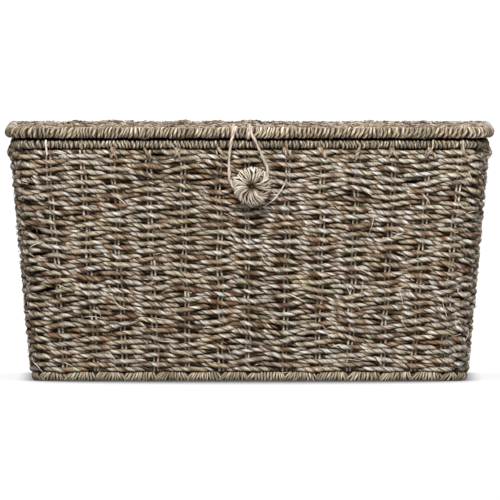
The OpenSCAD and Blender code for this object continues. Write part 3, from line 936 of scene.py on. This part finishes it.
def rims():
    piece = Piece()
    winding(piece, LID, width=4.1, thick=3.0, seed=31.0, lean=0.95, bright=1.03, twist=2.1)
    piece.build("rim_lid", "lid", "seagrass_wrap", "lid_rim_wrap")
    piece = Piece()
    # the body's rim is painted darker, as painted shade under the overhanging lid's rim
    winding(piece, TOP, width=3.7, thick=2.7, seed=33.0, lean=0.75, bright=0.86, twist=1.7,
            hand=-1.0)
    piece.build("rim_top", "basket", "seagrass_wrap", "top_rim_wrap")
    piece = Piece()
    winding(piece, BASE, width=2.7, thick=2.4, seed=35.0, lean=0.65, twist=1.2, sides=6,
            steps=12, gathers=stakes_at(WALL_LO, BASE))
    piece.build("rim_base", "basket", "seagrass_wrap", "base_rim_wrap", floor=0.0)


# ---------------------------------------------------------------- stake ends at the body's rim
# Two-ply ends along the front: x, and the sideways slant of each end there
FRONT_ENDS = [
    (-136.5, (4.5, -3.5)), (-105, (6.0,)), (-72, (3.0, -4.0)), (-31, (7.0,)), (36, (3.5, 5.5)),
    (71, (7.5, 4.0)), (110, (-3.0,)), (143, (6.5, -5.0)), (181, (7.0, -6.0)), (213, (3.0,)),
]
FRONT_WISPS = (-136.5, -72, 143, 181)
# Flat ends along the front: x, slant, how far they hang below the rim's middle, palette
FRONT_FLAT_ENDS = [(-204, 1.5, 13.0, LOOP_PALETTE), (-168, 1.0, 5.5, END_PALETTE),
                   (213.5, 1.0, 8.5, END_PALETTE), (184, -3.0, 5.5, END_PALETTE)]
# A two-ply end's way: share of its slant, distance out, distance below the rim's underside
ROPE_END_WAY = [(0, 0.6, -0.8), (0, 3.6, 0.2), (0.25, 5.9, 2.4), (0.6, 6.3, 5.0),
                (0.9, 5.2, 7.6), (1, 3.2, 9.4)]


def at_rim(around, out, up):
    point, outward = hoop_point(around, TOP)
    return point + outward * out + UP * up


def rope_end(piece, around, slant, seed):
    """The end of a stake, bent out from under the rim, across the gap and into the weave."""
    line, along = smooth([at_rim(around + slant * share, out, -TOP.radius - down)
                          for share, out, down in ROPE_END_WAY], 22)
    outward = hoop_point(around, TOP)[1]
    cord(piece, line, outward + 0.15 * UP, along, seed, 0.95 + 0.25 * frac_hash(seed, 75.0),
         41.0, sides=7, lay=11.0, palette=END_PALETTE, dark=0.55)


def flat_end(piece, around, slant, hang, seed, palette=END_PALETTE):
    """A flat end brought over the rim's face."""
    points = []
    for degrees in (112, 84, 56, 28, 0, -28):
        angle = math.radians(degrees)
        points.append(at_rim(around + slant * (0.3 - degrees / 280) * 0.5,
                             (TOP.radius + 0.3) * math.cos(angle),
                             (TOP.radius + 0.3) * math.sin(angle)))
    for down in (5.0, 8.0, 11.0, 14.0):
        if down <= hang:
            points.append(at_rim(around + slant * (0.15 + 0.07 * down),
                                 TOP.radius + 1.9 - 0.1 * down, -down))
    line, along = smooth(points, 22)
    centre, outward = hoop_point(around, TOP)
    outs = unit(line - centre + 0.0001)
    outs[along > along[-1] * 0.7] = outward
    strand(piece, line, outs, along, seed, 0.95, 41.0, palette=palette,
           taper=1 - 0.35 * (along / along[-1]) ** 4)


def wisp(piece, around, seed):
    """A few thin hairs where a stake was cut."""
    outward = hoop_point(around, TOP)[1]
    for k in range(4):
        sideways, rise, place = (frac_hash(seed, k, key) for key in (91.0, 92.0, 93.0))
        root = around + 3.5 * (place - 0.5)
        reach = 9 * (sideways - 0.5)
        level = -TOP.radius - 4.0
        line, along = smooth([at_rim(root, 5.6, level - 0.5),
                              at_rim(root + reach * 0.5, 7.0, level + 3.2 * (rise - 0.5)),
                              at_rim(root + reach, 7.4, level + 7 * (rise - 0.45))], 10)
        strand(piece, line, outward, along, seed + k, 0.42, 44.0, sides=5, palette=END_PALETTE,
               taper=1 - 0.6 * (along / along[-1]) ** 2)


def stake_ends():
    piece = Piece()
    front_middle = WALL_CORNER * math.pi / 4 + (TOP.half_x - WALL_CORNER)
    for x, slants in FRONT_ENDS:
        for k, slant in enumerate(slants):
            spacing = (k - (len(slants) - 1) / 2) * 2.6
            rope_end(piece, front_middle + x + spacing, slant, 400 + x + k)
        if x in FRONT_WISPS:
            wisp(piece, front_middle + x, 500 + x)
    for x, slant, hang, palette in FRONT_FLAT_ENDS:
        flat_end(piece, front_middle + x, slant, hang, 450 + x, palette)
    # the sides and back: all but some of the stakes after the front-right post
    for j, around in enumerate(stakes_at(TOP.z, TOP)):
        if j < 15 or j % 14 == 0 or frac_hash(j, 71.0) < 0.25:
            continue
        for k in range(1 + int(frac_hash(j, 77.0) * 2)):
            rope_end(piece, around + (k - 0.3) * 2.8, 12 * (frac_hash(j, k, 79.0) - 0.45),
                     j * 3 + k)
        if frac_hash(j, 73.0) < 0.3:
            wisp(piece, around, 600 + j)
        if frac_hash(j, 76.0) < 0.2:
            flat_end(piece, around + 4, 1.0, 6 + 7 * frac_hash(j, 78.0), 700 + j)
    piece.build("stake_ends", "basket", "paper_cord")


# ---------------------------------------------------------------- hinge ties
def hinge_tie(side, node):
    """Four cords round both rims, each like a belt round two pulleys."""
    lo, hi = span(node)
    rise_y, rise_z = LID.half_y - TOP.half_y, LID.z - TOP.z
    lid_radius, top_radius = LID.radius - 0.45, TOP.radius + 0.7
    distance = math.hypot(rise_y, rise_z)
    axis = np.array([0, rise_y / distance, rise_z / distance])
    square = np.array([0, rise_z / distance, -rise_y / distance])
    slope = math.asin((lid_radius - top_radius) / distance)

    def turned(radius, angle):
        return radius * (math.cos(angle) * square + math.sin(angle) * axis)

    piece = Piece()
    for i in range(4):
        x = (lo[0] + hi[0]) / 2 + (i - 1.5) * 2.6
        top = np.array([x, TOP.half_y, TOP.z])
        points = [top + axis * distance + turned(lid_radius, angle)
                  for angle in np.linspace(-slope, math.pi + slope, 22)]
        points += [top + turned(top_radius, angle)
                   for angle in np.linspace(math.pi + slope, 2 * math.pi - slope, 16)]
        points = np.array(points[-2:] + points + points[:3])
        points[:, 0] += 0.5 * np.sin(np.arange(len(points)) * 0.35 + i * 2)
        # points closer than this would kink the line
        kept = [points[0]]
        for point in points[1:]:
            if np.linalg.norm(point - kept[-1]) > 0.4:
                kept.append(point)
        line, along = smooth(kept, 60)
        middle = np.array([x, (TOP.half_y + LID.half_y) / 2, (TOP.z + LID.z) / 2])
        cord(piece, line, unit(line - middle), along, side * 5 + i, 0.8, 43.0,
             palette=WRAP_PALETTE)
    piece.build(node + "_cord", "basket", "seagrass_wrap", node)


# ---------------------------------------------------------------- button
def button_winding():
    """Strands that come out of the hole, run over the domed front, round the edge and back."""
    loops, steps, sides = 54, 44, 8
    ids = np.arange(loops)
    gaps = 0.5 + RNG.uniform(0, 1, loops)
    place = (np.cumsum(gaps) / gaps.sum() * 2 * math.pi)[:, None]

    def own(key):
        """Each loop's own value from 0 to 1."""
        return frac_hash(ids, key)[:, None]

    angle = np.linspace(0, 2 * math.pi, steps, endpoint=False)[None, :]
    cos, sin = np.cos(angle), np.sin(angle)
    inner = BUTTON_HOLE * (0.75 + 0.85 * own(87.0)) * (1 + 0.42 * np.cos(2 * (place - 2.0)))
    outer = BUTTON_OUTER * (1 + 0.04 * (2 * own(86.0) - 1))
    middle_radius = (inner + outer) / 2
    radius = middle_radius - (outer - inner) / 2 * np.sign(cos) * np.abs(cos) ** 0.9
    share = radius / BUTTON_OUTER
    over = 0.75 * (2 * own(90.0) - 1)
    forward = (BUTTON_TUBE + over * sin) * np.sign(sin) * np.abs(sin) ** 0.72
    forward = forward * (1 - 0.22 * share ** 3)
    bend = 0.10 + 0.44 * (own(82.0) - 0.4)
    around = (place + bend * np.sin(math.pi * share) - 0.25 * bend * np.cos(2 * math.pi * share)
              + 0.22 * (1 - share) ** 2 * (2 * own(92.0) - 1))
    lines = np.stack([BUTTON_X - 0.5 * (1 - share) + radius * np.sin(around),
                      BUTTON_Y - forward,
                      BUTTON_Z - 0.3 * (1 - share) + radius * np.cos(around)], -1)
    middle = np.stack([BUTTON_X + middle_radius * np.sin(around),
                       np.full(around.shape, BUTTON_Y),
                       BUTTON_Z + middle_radius * np.cos(around)], -1)
    heading = unit(np.roll(lines, -1, 1) - np.roll(lines, 1, 1))
    away = square_to(unit(lines - middle), heading)
    gap = np.clip((np.roll(gaps, -1) + gaps) / 2 / gaps.sum() * loops, 0.75, 1.5)[:, None]
    half_width = np.clip(math.pi * radius / loops * gap * 0.92, 0.34, 1.5)

    ring = ring_angles(sides)
    colour = (choose(BUTTON_PALETTE, ids[:, None], ring_sector(ring) * 0.37, 83.0)[:, None] * 0.45
              + choose(BUTTON_PALETTE, ids, 84.0)[:, None, None, :] * 0.55)
    colour = colour * (0.92 + 0.6 * frac_hash(ids, 85.0))[:, None, None, None]
    colour = 0.84 * np.tanh(colour * np.array([1.02, 0.99, 0.96]) / 0.84)
    # browner towards the hole; painted light makes the button lighter on the upper left and darker
    # on the lower right
    core = step_up(1 - share, 0.52, 0.88)[..., None, None]
    colour = colour * (1 - core * np.array([0.25, 0.38, 0.5]))
    lamp_side_light = 0.5 - 0.5 * np.sin(around - 0.5)
    colour = colour * (0.9 + 0.22 * lamp_side_light)[..., None, None]
    # painted shade in the grooves between strands, deepening down into the hole
    groove = 0.12 + 0.88 * np.clip(-0.05 + 1.1 * np.sin(ring), 0, 1)
    shade = groove * np.clip(0.03 + 0.97 * (share - 0.15) / 0.24, 0.03, 1)[..., None]
    lobe = 1 + 0.1 * np.cos(3 * ring + ids[:, None, None] * 1.9)
    piece = Piece()
    piece.tubes(lines, np.cross(away, heading), away, half_width,
                np.full(half_width.shape, 1.15), colour, angle * 12 + 40.0 * ids[:, None],
                lobe=lobe, shade=shade, closed=True)
    piece.build("button_winding", "button", "button_wrap", "button_wrap")


def button_rope():
    """The rope ring inside the button."""
    piece = Piece()
    angle = np.linspace(0, 2 * math.pi, 91)
    radius = (BUTTON_HOLE + BUTTON_OUTER) / 2
    line = np.stack([BUTTON_X + radius * np.sin(angle), np.full(91, BUTTON_Y),
                     BUTTON_Z + radius * np.cos(angle)], -1)
    rope(piece, *alone(line, FORWARD, angle * radius, 3), lay=34.0, radius=2.1, seed=85.0, cut=0)
    piece.build("button_rope", "button", "seagrass_weave", "button_core")


def button_cord():
    """The cord shank with a knot at each end."""
    lo, hi = span("button_shank")
    piece = Piece()
    y = np.linspace(lo[1] + 5.2, hi[1] - 2.5, 24)
    line = np.stack([np.full(24, BUTTON_X), y, np.full(24, BUTTON_Z)], -1)
    cord(piece, line, UP, y + 300, 2, 0.78, 47.0)
    for knot_y, radius, turns in ((lo[1] + 6.4, 0.9, 1.5), (hi[1] - 4.0, 2.5, 2.0)):
        angle = np.linspace(0, 2 * math.pi * turns, 40)
        line = np.stack([BUTTON_X + radius * np.cos(angle) * (1 - 0.1 * angle / 6),
                         knot_y + 0.9 * np.sin(angle * 0.5 + 0.4) * radius * 0.5,
                         BUTTON_Z + radius * np.sin(angle)], -1)
        cord(piece, line, FORWARD, angle * radius, 5, 0.7, 48.0)
    piece.build("button_cord", "basket", "paper_cord", "button_shank")


# ---------------------------------------------------------------- closure loop
eye_lo, eye_hi = span("loop_eyes")
EYE_LEFT, EYE_RIGHT = eye_lo[0] + 1.0, eye_hi[0] - 1.0
EYE_RADIUS = (eye_hi[2] - eye_lo[2]) / 2
LOOP_Y = -LID.half_y - EYE_RADIUS + 1.0  # where the cord hangs in front of the lid's rim


def on_front(x, z, stand):
    """A point standing this far off the front wall's face."""
    return [x, -(wall_hoop(z).half_y + 5.7 + stand), z]


def closure_loop():
    """The cord from the lid's left eye, under the button and back up to the right eye."""
    low = BUTTON_Z - 193.5  # the path below is laid out for a button at this height
    eye_y, front_y = -LID.half_y + 2.0, -LID.half_y - 3.8
    path = [
        [EYE_LEFT, eye_y, LID.z + EYE_RADIUS - 0.6],
        [EYE_LEFT - 0.4, front_y, LID.z + 5.6],
        [EYE_LEFT - 0.9, LOOP_Y, LID.z - 0.5],
        [EYE_LEFT - 2.4, LOOP_Y - 0.1, LID.z - 8],
        on_front(-20, 228, 3.6),
        on_front(-20.4, 210 + low, 2.4),
        on_front(-19.6, 199 + low, 1.9),
        on_front(-15, 191.5 + low, 1.9),
        on_front(-6, 188 + low, 1.7),
        on_front(BUTTON_X, 187.4 + low, 1.7),
        on_front(11, 189.5 + low, 1.8),
        on_front(16.8, 197 + low, 2.0),
        on_front(18.4, 206 + low, 2.4),
        on_front(16.2, 216 + low * 0.5, 2.7),
        on_front(12.4, 226, 3.6),
        [6.8, LOOP_Y - 0.1, LID.z - 10],
        [EYE_RIGHT + 2.0, LOOP_Y, LID.z - 1.0],
        [EYE_RIGHT + 0.6, front_y, LID.z + 5.4],
        [EYE_RIGHT, eye_y, LID.z + EYE_RADIUS - 0.6],
    ]
    line, along = smooth(path, 200)
    from_end = np.minimum(along, along[-1] - along)
    piece = Piece()
    cord(piece, line, np.array([0, -1.0, 0.15]), along, 1, 0.98, 51.0, sides=7, lay=19.0,
         taper=1 + 0.35 * np.exp(-(from_end / 14) ** 2), dark=0.25, palette=LOOP_PALETTE)
    blend = ("lid", "loop", (0.0, (-LID.half_y - 2.5) * MM, (LID.z + 5.0) * MM),
             (0.0, (LOOP_Y - 0.3) * MM, (LID.z - 9.0) * MM))
    piece.build("loop", blend, "paper_cord", "loop_cord")


def loop_turns():
    """Two turns round the lid's front rim at each end of the loop."""
    piece = Piece()
    angle = np.linspace(0, 2 * math.pi, 49)
    radius = LID.radius + 0.25
    for x, palette in ((EYE_LEFT, LOOP_PALETTE), (EYE_RIGHT, WRAP_PALETTE)):
        for k in range(2):
            line = np.stack([x + (k - 0.5) * 1.9 * np.cos(angle * 0.5) + 1.6 * np.sin(angle),
                             -LID.half_y + radius * np.cos(angle),
                             LID.z + radius * np.sin(angle)], -1)
            outs = unit(line - np.array([x, -LID.half_y, LID.z]))
            strand(piece, line, outs, angle * radius, x + k, 0.95, 53.0, flat=0.75,
                   palette=palette)
    piece.build("loop_turns", "loop", "paper_cord", "loop_eyes")


# ---------------------------------------------------------------- loose fibres on the weave
def wall_fibre(piece, z, around, rise, lift, along, row, radius, seed, **look):
    """A strand lying on the wall round height z, standing lift out from its middle."""
    points, outward = hoop_point(around, wall_hoop(z))
    line = points + outward * (rise * math.tan(LEAN) + lift)[:, None] + UP * rise[:, None]
    strand(piece, line, outward, along, row, radius, seed, **look)


def long_fibres(piece):
    """Bowed blades scattered over the walls."""
    k = np.linspace(-0.5, 0.5, 9)
    for i in range(190):
        z = RNG.uniform(WALL_LO + 6, WALL_HI - 3)
        start = RNG.uniform(0, 1) * stake_stations(z)[-1]
        size = RNG.uniform(7, 22)
        slope = RNG.normal(0.35, 0.6)
        bend = RNG.normal(0, 0.25)
        sideways = size * (k * math.cos(slope) - bend * k * k * math.sin(slope))
        rise = -size * (k * math.sin(slope) + bend * (k * k) * math.cos(slope))
        lift = (5.4 + 1.5 * (1 - (2 * k) ** 2) * RNG.uniform(0.3, 1.2) - 1.2 * (2 * k) ** 4)
        wall_fibre(piece, z, start + sideways, rise, lift, size * (k + 0.5), i,
                   RNG.uniform(0.26, 0.5), 61.0, sides=5, flat=0.45, palette=STRAY_PALETTE,
                   taper=1 - 0.75 * (2 * np.abs(k)) ** 3)


def short_fibres(piece):
    """Short broken blades and hairs, thickest where the front meets the sides."""
    k = np.linspace(0, 1, 6)
    for i in range(620):
        z = RNG.uniform(WALL_LO + 4, WALL_HI - 2)
        stations = stake_stations(z)
        if i < 110:
            # these stand out from the corners, most from the front-right one
            corner = stations[(14, 14, 14, 0, 24)[i % 5]]
            start = corner + RNG.uniform(-16, 16)
            stand = RNG.uniform(0.6, 2.6)
        else:
            start = RNG.uniform(0, 1) * stations[-1]
            stand = RNG.uniform(0.1, 0.9)
        size = RNG.uniform(2.8, 8.5)
        slope = RNG.normal(0.45, 0.5)
        sideways = size * k * math.cos(slope) * RNG.choice([-1, 1])
        bend = RNG.normal(0, 0.2)
        rise = -size * (k * math.sin(slope) + bend * k * k) * np.sign(sideways[-1])
        wall_fibre(piece, z, start + sideways, rise, 4.9 + stand * k + 0.25, size * k, i + 300,
                   RNG.uniform(0.2, 0.42), 63.0, sides=4, flat=0.5, palette=HAIR_PALETTE,
                   taper=1 - 0.7 * k ** 2)


def loose_fibres():
    piece = Piece()
    long_fibres(piece)
    short_fibres(piece)
    # one long end hangs from the right of the button
    line, along = smooth([on_front(36, 199, 0.6), on_front(31, 191, 1.6), on_front(25, 183, 1.9),
                          on_front(16, 176, 1.2), on_front(13, 174.5, 0.2)], 26)
    strand(piece, line, FORWARD, along, 9, 0.75, 62.0, palette=STRAY_PALETTE,
           taper=1 - 0.5 * np.abs(np.linspace(-1, 1, 26)) ** 3)
    piece.build("loose_fibres", "basket", "paper_cord")


# ---------------------------------------------------------------- floor, light, camera; metres
WHITE = 1.06  # strength at which the floor burns out


def paper_material():
    """Pale paper that glows white to the camera, with a painted contact shadow where ambient
    occlusion dims the glow.
    """
    material, tree = empty_material("floor_paper")
    hidden = add_node(tree, "AmbientOcclusion", {"Distance": 0.22}, samples=16)
    fade = add_node(tree, "MapRange", {
        "From Min": 0.42, "From Max": 0.86, "To Min": 0.1, "To Max": WHITE,
        "Value": hidden.outputs["AO"]}, interpolation_type="SMOOTHSTEP")
    # the painted contact shadow fades out quickly to the left and right of the base
    where = add_node(tree, "NewGeometry")
    split = add_node(tree, "SeparateXYZ", {0: where.outputs["Position"]})
    far_x = add_node(tree, "Math", {0: split.outputs["X"]}, operation="ABSOLUTE")
    side_fade = add_node(tree, "MapRange", {
        "From Min": BASE.half_x * MM - 0.004, "From Max": BASE.half_x * MM + 0.022,
        "To Min": 0.0, "To Max": 0.85, "Value": far_x.outputs[0]},
        interpolation_type="SMOOTHSTEP")
    level = add_node(tree, "Mix", {
        "Factor": side_fade.outputs["Result"], "A": fade.outputs["Result"], "B": WHITE},
        data_type="FLOAT")
    dim = add_node(tree, "BsdfDiffuse", {"Color": (0.5, 0.5, 0.5, 1)})
    glow = add_node(tree, "Emission", {"Strength": level.outputs["Result"]})
    ray = add_node(tree, "LightPath")
    pick = add_node(tree, "MixShader", {
        0: ray.outputs["Is Camera Ray"], 1: dim.outputs[0], 2: glow.outputs[0]})
    add_node(tree, "OutputMaterial", {0: pick.outputs[0]})
    return material


def add_floor(half=30.0, z=-0.0002):
    mesh = bpy.data.meshes.new("floor")
    corners = [(-half, -half, z), (half, -half, z), (half, half, z), (-half, half, z)]
    mesh.from_pydata(corners, [], [(0, 1, 2, 3)])
    floor = bpy.data.objects.new("floor", mesh)
    mesh.materials.append(paper_material())
    bpy.context.scene.collection.objects.link(floor)


def add_world():
    """White to the camera, a faint warm fill to everything else."""
    world = bpy.data.worlds.new("studio")
    bpy.context.scene.world = world
    world.use_nodes = True
    tree = world.node_tree
    tree.nodes.clear()
    seen = add_node(tree, "Background", {"Color": (1, 1, 1, 1), "Strength": 1.1})
    lit = add_node(tree, "Background", {"Color": (1, 0.92, 0.82, 1), "Strength": 0.15})
    ray = add_node(tree, "LightPath")
    pick = add_node(tree, "MixShader", {
        0: ray.outputs["Is Camera Ray"], 1: lit.outputs[0], 2: seen.outputs[0]})
    add_node(tree, "OutputWorld", {0: pick.outputs[0]})


def place(thing, where, aim):
    """Stands a light or camera at where, facing aim."""
    thing.location = where
    thing.rotation_mode = "QUATERNION"
    thing.rotation_quaternion = (Vector(aim) - Vector(where)).to_track_quat("-Z", "Y")
    bpy.context.scene.collection.objects.link(thing)


def area_light(name, where, aim, size, power):
    light = bpy.data.lights.new(name, "AREA")
    light.shape = "DISK"
    light.size = size
    light.energy = power
    light.color = (0.985, 1.0, 1.03)
    thing = bpy.data.objects.new(name, light)
    place(thing, where, aim)


def add_camera(far=20.0, view_width=0.5, sensor=36.0):
    """A long lens far in front, which takes in view_width at the lid's front edge."""
    data = bpy.data.cameras.new("camera")
    data.sensor_width = sensor
    data.lens = sensor * far / view_width
    data.clip_start, data.clip_end = 0.1, 100
    camera = bpy.data.objects.new("camera", data)
    front_y = -(LID.half_y + LID.radius) * MM
    place(camera, where=(0.0005, front_y - far, 0.655), aim=(0.0005, front_y, 0.132))
    bpy.context.scene.camera = camera


# ---------------------------------------------------------------- build; the order fixes the draws
paint_rods()
weave_walls()
wall_stakes()
panels()
rims()
stake_ends()
hinge_tie(-1, "hinge_tie_left")
hinge_tie(1, "hinge_tie_right")
button_winding()
button_rope()
button_cord()
closure_loop()
loop_turns()
loose_fibres()

add_floor()
add_world()
area_light("key", where=(-0.15, -2.44, 2.15), aim=(0, 0, 0.12), size=0.8, power=150)
area_light("top", where=(0.3, 0.2, 3.0), aim=(0, 0, 0.1), size=1.2, power=16)
area_light("back", where=(0.9, 2.4, 1.9), aim=(0, 0, 0.12), size=1.4, power=92)
view = bpy.context.scene.view_settings
view.view_transform = "Standard"
view.look = "None"
view.exposure = 0.0
add_camera()
